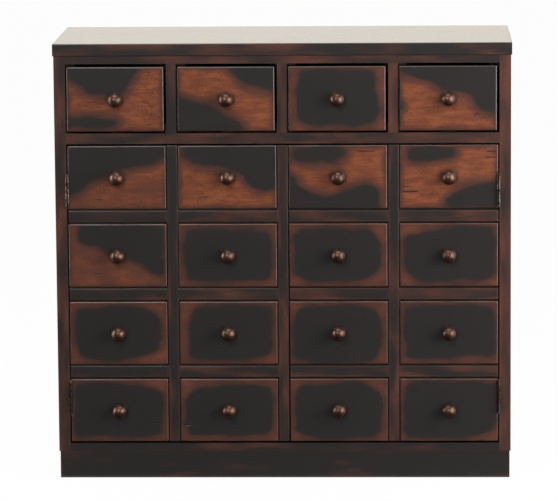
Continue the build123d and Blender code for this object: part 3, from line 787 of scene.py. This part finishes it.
class PAPELERA_OT_carcass(Operator):
    """Dress the sides, the plinth and the boards inside the carcass"""

    bl_idname = "papelera.carcass"
    bl_label = "Carcass"

    def execute(self, context):
        dress_boards(context, ["left_side_panel", "right_side_panel"], "rubbed_glaze_frame", glaze=[8])
        dress_boards(context, ["plinth_front", "plinth_sides"], "rubbed_glaze_frame", glaze=[14])
        inner = [
            "bottom_panel", "drawer_deck", "drawer_partitions", "drawer_runners", "drawer_kickers",
            "drawer_stops", "plinth_back", "plinth_blocks", "shelf",
        ]
        dress_boards(context, inner, "stained_inner_wood")
        dress_boards(context, ["back_panel"], "stained_plywood", ease=False)
        return {"FINISHED"}


class PAPELERA_OT_drawers(Operator):
    """Dress the four drawers, their fronts apart from their boxes"""

    bl_idname = "papelera.drawers"
    bl_label = "Drawers"

    def execute(self, context):
        for number in (1, 2, 3, 4):
            prefix = f"drawer_{number}_"
            dress_fronts(context, prefix + "front")
            dress_boards(context, [prefix + "sides", prefix + "back"], "sealed_drawer_wood", ease=False)
            dress_boards(context, [prefix + "bottom"], "stained_plywood", ease=False)
        return {"FINISHED"}


class PAPELERA_OT_doors(Operator):
    """Dress the two doors with their strips and false fronts"""

    bl_idname = "papelera.doors"
    bl_label = "Doors"

    def execute(self, context):
        for door, glaze in (("left_door", [10, 5]), ("right_door", [6, 3])):
            dress_boards(context, [door + "_core"], "rubbed_glaze_frame", glaze=[14], ease=False)
            dress_boards(context, [door + "_strips"], "rubbed_glaze_frame", glaze, ease=False)
            dress_fronts(context, door + "_false_fronts")
        return {"FINISHED"}


# ---- Hardware ----


def layout_tree():
    """Sets out copies of one piece on points, each faced along the points' own direction."""
    tree = bpy.data.node_groups.new("set_out", "GeometryNodeTree")
    for name, kind in (
        ("Points", "NodeSocketGeometry"),
        ("Piece", "NodeSocketObject"),
        ("Finish", "NodeSocketMaterial"),
        ("Turn", "NodeSocketFloat"),
        ("Seed", "NodeSocketInt"),
    ):
        tree.interface.new_socket(name=name, in_out="INPUT", socket_type=kind)
    tree.interface.new_socket(name="Pieces", in_out="OUTPUT", socket_type="NodeSocketGeometry")
    given = add(tree, "NodeGroupInput").outputs
    piece = add(tree, "GeometryNodeObjectInfo", {"Object": given["Piece"]})
    facing = add(tree, "GeometryNodeInputNamedAttribute", {"Name": "facing"}, data_type="FLOAT_VECTOR")
    faced = add(tree, "FunctionNodeAlignRotationToVector", {"Vector": facing}, axis="Z")
    turn = add(tree, "FunctionNodeRandomValue", (0.0, given["Turn"], 0, given["Seed"]), data_type="FLOAT")
    spin = add(tree, "FunctionNodeAxisAngleToRotation", {"Axis": (0, 0, 1), "Angle": turn})
    turned = add(tree, "FunctionNodeRotateRotation", (faced, spin), rotation_space="LOCAL")
    copies = add(
        tree,
        "GeometryNodeInstanceOnPoints",
        {"Points": given["Points"], "Instance": piece.outputs["Geometry"], "Rotation": turned},
    )
    whole = add(tree, "GeometryNodeRealizeInstances", {"Geometry": copies})
    painted = add(tree, "GeometryNodeSetMaterial", {"Geometry": whole, "Material": given["Finish"]})
    add(tree, "NodeGroupOutput", {"Pieces": painted})
    return tree


def set_out(name, blank, places, facing, material, turn, seed):
    """One mesh with a copy of the blank at every place, faced outwards and turned by chance."""
    mesh = bpy.data.meshes.new(name + "_points")
    mesh.from_pydata([tuple(p) for p in places], [], [])
    write(mesh, "facing", np.array(facing, float))
    host = placed(name + "_points", mesh)
    tree = bpy.data.node_groups.get("set_out") or layout_tree()
    modifier = host.modifiers.new("set_out", "NODES")
    modifier.node_group = tree
    values = {"Piece": blank, "Finish": bpy.data.materials[material], "Turn": turn, "Seed": seed}
    for item in tree.interface.items_tree:
        if item.item_type == "SOCKET" and item.name in values:
            modifier[item.identifier] = values[item.name]
    evaluated = host.evaluated_get(bpy.context.evaluated_depsgraph_get())
    result = bpy.data.meshes.new_from_object(evaluated)
    host.modifiers.remove(modifier)
    bpy.data.objects.remove(host)
    result.name = name
    return placed(name, result)


class PAPELERA_OT_knobs(Operator):
    """Turn one knob and set it out on every front"""

    bl_idname = "papelera.knobs"
    bl_label = "Knobs"

    def execute(self, context):
        s = context.scene.papelera_sizes
        ball = s.knob_reach - s.knob_radius
        start = math.asin(s.neck_radius / s.knob_radius)
        edge, hollow = 0.5 * MM, 1.4 * MM
        quarter = (0, math.pi / 6, math.pi / 3, math.pi / 2)
        profile = [(0, 0), (s.rose_radius, 0)]
        profile += [
            (s.rose_radius - edge * (1 - math.cos(t)), s.rose_height - edge * (1 - math.sin(t)))
            for t in quarter
        ]
        profile += [
            (s.neck_radius + hollow * (1 - math.sin(t)), s.rose_height + hollow * (1 - math.cos(t)))
            for t in quarter
        ]
        turns = [start + (math.pi - start) * i / 30 for i in range(31)]
        profile += [(s.knob_radius * math.sin(t), ball - s.knob_radius * math.cos(t)) for t in turns]
        profile[-1] = (0, s.knob_reach)
        blank = as_object(lathe(profile, 56), "knob_blank", 50)
        for body in frame["bodies"]:
            fronts = [n for n in BODY_OF if BODY_OF[n] == body and n.endswith(("_front", "_false_fronts"))]
            nodes = [n for n in BODY_OF if BODY_OF[n] == body and n.endswith(("_knob", "_knobs"))]
            if not nodes:
                continue
            boxes = [box for n in fronts for box in solids(n)]
            places = [((a[0] + b[0]) / 2, a[1], (a[2] + b[2]) / 2) for a, b in boxes]
            facing = [(0, -1, 0)] * len(places)
            obj = set_out(
                body + "_turned_knobs", blank, places, facing, "oil_rubbed_bronze", 2 * math.pi, s.seed
            )
            settle(obj, body, SLOT_OF[nodes[0]], None, *nodes)
        bpy.data.objects.remove(blank)
        return {"FINISHED"}


def screw_blank(radius):
    """A slotted countersunk screw head with a little of its shank, facing +Z, its face at 0."""
    rise = 0.25 * MM
    profile = [(0, -2.2 * MM), (radius * 0.45, -2.2 * MM), (radius * 0.5, -1.9 * MM), (radius, -0.15 * MM)]
    profile += [(radius * 0.97, 0), (radius * 0.7, rise * 0.7), (radius * 0.35, rise), (0, rise * 1.08)]
    head = as_object(lathe(profile, 24), "screw_blank")
    cutter = block((-radius * 1.2, -0.4 * MM, -0.7 * MM), (radius * 1.2, 0.4 * MM, MM), 0.05 * MM, 1)
    slot = as_object(cutter, "slot")
    worked(head, "BOOLEAN", object=slot, operation="DIFFERENCE", solver="EXACT")
    bpy.data.objects.remove(slot)
    return head


def leaves_node(body):
    return "frame_hinge_leaves" if body == "cabinet" else body + "_hinge_leaves"


def leaf_box(body, middle, side):
    """The lowest and highest corner of a body's hinge leaf at that height, left (-1) or right (1)."""
    boxes = solids(leaves_node(body))
    return next(box for box in boxes if box[0][2] < middle < box[1][2] and box[0][0] * side > 0)


def turned_pin(sizes, half, half_pin):
    """A hinge pin with a turned tip beyond each end of its barrel."""
    radius, tip, base = sizes.pin_radius, sizes.knuckle_radius * 0.9, half + 1.4 * MM
    up = [
        (radius, half), (tip * 0.92, half + 0.05 * MM), (tip, half + 0.4 * MM), (tip, base),
        (tip * 0.93, base + 0.5 * MM), (tip * 0.62, base + 0.9 * MM), (tip * 0.58, base + 1.3 * MM),
        (tip * 0.66, base + 2.0 * MM), (tip * 0.52, half_pin - 0.5 * MM), (0, half_pin),
    ]
    return lathe([(r, -height) for r, height in reversed(up)] + up, 28)


def knuckle(sizes, foot, top):
    """One length of a hinge's barrel, with its ends bevelled."""
    bevel, outer, bore = 0.6 * MM, sizes.knuckle_radius, sizes.pin_radius + 0.05 * MM
    ring = [
        (bore, foot), (outer - bevel, foot), (outer, foot + bevel),
        (outer, top - bevel), (outer - bevel, top), (bore, top),
    ]
    return lathe(ring, 32, closed=True)


class PAPELERA_OT_hinges(Operator):
    """Build the four butt hinges: pins, knuckles, leaves and their screws"""

    bl_idname = "papelera.hinges"
    bl_label = "Hinges"

    def execute(self, context):
        s = context.scene.papelera_sizes
        plating = bpy.data.materials["antiqued_hinge_plating"]
        # thickness of a leaf, half the space between two, the gap between knuckles, and how far behind
        # the pin a strap ends and the flat of a leaf starts
        thickness, spread, gap, strap_end, flat_start = (v * MM for v in (1.5, 1.25, 0.5, 5, 4.2))
        still = Matrix.Identity(4)
        pins, screws = [], {"cabinet": [], "left_door": [], "right_door": []}
        leaves = {body: [] for body in screws}
        for low, high in solids("hinge_pins"):
            x, y, middle = (low + high) / 2
            side, door = (-1, "left_door") if x < 0 else (1, "right_door")
            leaf_low, leaf_high = leaf_box("cabinet", middle, side)
            half = (leaf_high[2] - leaf_low[2]) / 2 + 0.15 * MM
            at = Matrix.Translation((x, y, middle))
            pins.append((turned_pin(s, half, (high[2] - low[2]) / 2), at))
            for first, body, outwards in ((0, "cabinet", side), (1, door, -side)):
                near = x + outwards * spread
                left, right = sorted((near, near + outwards * thickness))
                # every second knuckle is this leaf's, with the strap that rolls round the pin
                for i in (first, first + 2):
                    top = half - i * half / 2 - gap / 2
                    foot = top - half / 2 + gap
                    near_end, far_end = (left, y, middle + foot), (right, y + strap_end, middle + top)
                    strap = block(near_end, far_end, 0.1 * MM, 1)
                    leaves[body] += [(knuckle(s, foot, top), at), (strap, still)]
                leaf_low, leaf_high = leaf_box(body, middle, side)
                front, back = y + flat_start, leaf_high[1]
                plate = block((left, front, leaf_low[2]), (right, back, leaf_high[2]), 0.3 * MM)
                leaves[body].append((plate, still))
                # the middle screw stands back from the other two
                for share, aside in ((-0.72, -1.2), (0, 2.2), (0.72, -1.2)):
                    depth = (front + back) / 2 + aside * MM
                    screws[body].append(((near, depth, middle + share * half), (-outwards, 0, 0)))
        obj = as_object(gather(pins), "hinge_pins_turned")
        settle(obj, "cabinet", SLOT_OF["hinge_pins"], plating, "hinge_pins")
        for body, parts in leaves.items():
            node = leaves_node(body)
            obj = as_object(gather(parts), node + "_rolled")
            settle(obj, body, SLOT_OF[node], plating, node)
        blank = screw_blank(s.screw_radius)
        for body, items in screws.items():
            places, facing = zip(*items)
            obj = set_out(body + "_hinge_screws", blank, places, facing, plating.name, math.pi, s.seed + 3)
            settle(obj, body, SLOT_OF[leaves_node(body)], None)
        bpy.data.objects.remove(blank)
        return {"FINISHED"}


class PAPELERA_OT_fittings(Operator):
    """Build the catches, strikes and shelf pins, and the screws of the back panel"""

    bl_idname = "papelera.fittings"
    bl_label = "Fittings"

    def execute(self, context):
        s = context.scene.papelera_sizes
        zinc = bpy.data.materials["zinc_plated_steel"]
        blank = screw_blank(s.screw_radius * 1.05)
        still = Matrix.Identity(4)
        bodies, poles = [], []
        for low, high in solids("door_catches"):
            bodies.append((block(low + (0, 1.2 * MM, 0), high, 1.4 * MM, 3), still))
            inset, half = 0.18 * (high[0] - low[0]), 1.2 * MM
            for rise in (0.3, 0.62):
                z = low[2] + (high[2] - low[2]) * rise
                near, far = (low[0] + inset, low[1], z - half), (high[0] - inset, low[1] + 9 * MM, z + half)
                poles.append((block(near, far, 0.2 * MM, 1), still))
        obj = as_object(gather(bodies), "catch_bodies")
        plastic = bpy.data.materials["moulded_brown_abs"]
        settle(obj, "cabinet", SLOT_OF["door_catches"], plastic, "door_catches")
        obj = as_object(gather(poles), "catch_poles")
        settle(obj, "cabinet", SLOT_OF["left_door_strike"], zinc)
        for door in ("left_door", "right_door"):
            node = door + "_strike"
            low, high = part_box(node)
            obj = as_object(block(low, high, 0.35 * MM, 2), node + "_plate")
            settle(obj, door, SLOT_OF[node], zinc, node)
            middle = (low + high) / 2
            places = [(middle.x, high.y, middle.z)]
            obj = set_out(node + "_screw", blank, places, [(0, 1, 0)], zinc.name, math.pi, s.seed)
            settle(obj, door, SLOT_OF[node], None)
        pins = []
        for low, high in solids("shelf_pins"):
            length, radius, bevel = high[0] - low[0], (high[2] - low[2]) / 2, 0.4 * MM
            profile = [
                (0, 0), (radius - bevel, 0), (radius, bevel),
                (radius, length - bevel), (radius - bevel, length), (0, length),
            ]
            y, z = ((low + high) / 2)[1:]
            at = Matrix.Translation((low[0], y, z)) @ Matrix.Rotation(math.pi / 2, 4, "Y")
            pins.append((lathe(profile, 28), at))
        obj = as_object(gather(pins), "shelf_pins_turned")
        settle(obj, "cabinet", SLOT_OF["shelf_pins"], zinc, "shelf_pins")
        low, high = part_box("back_panel")
        # the panel lies a little in from the sides' edges, so that its screws stay within them
        sunk = 0.3 * MM
        for v in bpy.data.objects["back_panel_wood"].data.vertices:
            if v.co.y > high.y - 0.01 * MM:
                v.co.y -= sunk
        edge, y = 6 * MM, high.y - sunk
        places = []
        for i in range(6):
            x = low.x + edge + (high.x - low.x - 2 * edge) * i / 5
            places += [(x, y, low.z + edge), (x, y, high.z - edge)]
        for i in range(1, 5):
            z = low.z + edge + (high.z - low.z - 2 * edge) * i / 5
            places += [(low.x + edge * 0.75, y, z), (high.x - edge * 0.75, y, z)]
        facing = [(0, 1, 0)] * len(places)
        obj = set_out("back_panel_screws", blank, places, facing, zinc.name, math.pi, s.seed + 7)
        settle(obj, "cabinet", "plated_screw_steel", None)
        bpy.data.objects.remove(blank)
        return {"FINISHED"}


# ---- Studio ----


def softbox(name, turn, rise, distance, size, power, colour="ffffff"):
    """An area lamp that many degrees to the right of the front and above the floor, facing the cabinet."""
    aim = Vector((0, -0.15, 0.45))
    light = bpy.data.lights.new(name, "AREA")
    light.shape, light.size, light.size_y, light.energy = "RECTANGLE", size[0], size[1], power
    light.color = linear(colour)[:3]
    obj = placed(name, light)
    turn, rise = math.radians(turn), math.radians(rise)
    out = Vector((math.sin(turn) * math.cos(rise), -math.cos(turn) * math.cos(rise), math.sin(rise)))
    obj.location = aim + distance * out
    obj.rotation_euler = (-out).to_track_quat("-Z", "Y").to_euler()


class PAPELERA_OT_stage(Operator):
    """Set up the floor, the room, the softboxes and the camera"""

    bl_idname = "papelera.stage"
    bl_label = "Stage"

    def execute(self, context):
        scene, studio = context.scene, context.scene.papelera_studio
        tree = new_material("white_floor")
        path = add(tree, "ShaderNodeLightPath").outputs
        seen = add(tree, MATH, (path["Is Camera Ray"], 0.97), operation="MULTIPLY")
        paint = add(tree, "ShaderNodeBsdfDiffuse", (linear("e4e4e2"),))
        white = add(tree, "ShaderNodeEmission", {"Strength": 1.0})
        both = add(tree, "ShaderNodeMixShader", (seen, paint, white))
        # the floor in front mirrors dimly in the cabinet, as in a room that is dark behind the viewer
        place = add(tree, "ShaderNodeNewGeometry").outputs["Position"]
        at = add(tree, "ShaderNodeSeparateXYZ", (place,)).outputs["Y"]
        ahead = add(tree, MATH, (at, -0.17), operation="LESS_THAN")
        ahead = add(tree, MATH, (ahead, path["Is Glossy Ray"]), operation="MULTIPLY")
        dim = add(tree, "ShaderNodeEmission", {"Strength": studio.ambient})
        both = add(tree, "ShaderNodeMixShader", (ahead, both, dim))
        add(tree, "ShaderNodeOutputMaterial", {"Surface": both})
        bm = bmesh.new()
        corners = ((-6, -0.9), (6, -0.9), (6, 14), (-6, 14))
        bm.faces.new([bm.verts.new((x, y, -0.2 * MM)) for x, y in corners])
        floor = as_object(bm, "floor")
        floor.data.materials.append(bpy.data.materials["white_floor"])

        world = bpy.data.worlds.new("white_room")
        scene.world = world
        world.use_nodes = True
        tree = world.node_tree
        tree.nodes.clear()
        path = add(tree, "ShaderNodeLightPath").outputs
        towards = add(tree, "ShaderNodeTexCoord").outputs["Generated"]
        back = add(tree, "ShaderNodeSeparateXYZ", (towards,)).outputs["Y"]
        room = add(tree, RANGE, (back, -0.1, 0.5, studio.ambient, 0.94), **SMOOTH)
        light = add(tree, MATH, (path["Is Camera Ray"], room), operation="MAXIMUM")
        tint = add(tree, MIX, (path["Is Camera Ray"], linear("fffaf1"), linear("ffffff")), **COLOUR)
        sky = add(tree, "ShaderNodeBackground", (tint, light))
        add(tree, "ShaderNodeOutputWorld", {"Surface": sky})

        # degrees to the right and up, metres away, width and height in metres, power
        softbox("right_softbox", 50, 14, 3.2, (1.6, 2.0), studio.key)
        softbox("right_strip", 72, 12, 1.5, (0.4, 1.6), studio.strip)
        softbox("left_strip", -88, 12, 2.4, (0.5, 1.8), studio.edge)
        softbox("front_softbox", -16, 30, 4.2, (1.5, 1.5), studio.fill)
        softbox("overhead_softbox", 0, 80, 2.9, (2.0, 1.2), studio.top)
        softbox("backdrop_softbox", 180, 20, 4.9, (8.0, 2.8), studio.back, "fff4dc")

        camera = bpy.data.cameras.new("camera")
        camera.sensor_width = 36
        camera.lens = studio.lens
        eye = placed("camera", camera)
        place, yaw, pitch, roll = (0.2497, -7.8816, 1.6453), -0.0334, 0.1518, 0.0075
        ahead = Vector((math.sin(yaw) * math.cos(pitch), math.cos(yaw) * math.cos(pitch), -math.sin(pitch)))
        right = Vector((math.cos(yaw), -math.sin(yaw), 0))
        down = ahead.cross(right)
        across = math.cos(roll) * right + math.sin(roll) * down
        under = -math.sin(roll) * right + math.cos(roll) * down
        turn = Matrix((across, -under, -ahead)).transposed()
        eye.matrix_world = Matrix.Translation(place) @ turn.to_4x4()
        scene.camera = eye
        scene.view_settings.view_transform = "Standard"
        return {"FINISHED"}


PIECES = (
    PAPELERA_OT_materials, PAPELERA_OT_top_board, PAPELERA_OT_face_frame, PAPELERA_OT_carcass,
    PAPELERA_OT_drawers, PAPELERA_OT_doors, PAPELERA_OT_knobs, PAPELERA_OT_hinges, PAPELERA_OT_fittings,
    PAPELERA_OT_stage,
)


class PAPELERA_PT_panel(Panel):
    """Lists the cabinet's pieces"""

    bl_idname = "PAPELERA_PT_panel"
    bl_label = "Papelera cabinet"
    bl_space_type = "VIEW_3D"
    bl_region_type = "UI"
    bl_category = "Papelera"

    def draw(self, context):
        for group in ("papelera_colours", "papelera_sizes", "papelera_studio"):
            values = getattr(context.scene, group)
            for key in values.__annotations__:
                self.layout.prop(values, key)
        for piece in PIECES:
            self.layout.operator(piece.bl_idname)


GROUPS = {
    "papelera_colours": PapeleraColours,
    "papelera_sizes": PapeleraSizes,
    "papelera_studio": PapeleraStudio,
}


def register():
    for cls in (*GROUPS.values(), *PIECES, PAPELERA_PT_panel):
        bpy.utils.register_class(cls)
    for name, cls in GROUPS.items():
        setattr(bpy.types.Scene, name, PointerProperty(type=cls))


def unregister():
    for name in GROUPS:
        delattr(bpy.types.Scene, name)
    for cls in reversed((*GROUPS.values(), *PIECES, PAPELERA_PT_panel)):
        bpy.utils.unregister_class(cls)


def main():
    register()
    for piece in PIECES:
        name = piece.bl_idname.split(".")[1]
        getattr(bpy.ops.papelera, name)()


if __name__ == "__main__":
    main()
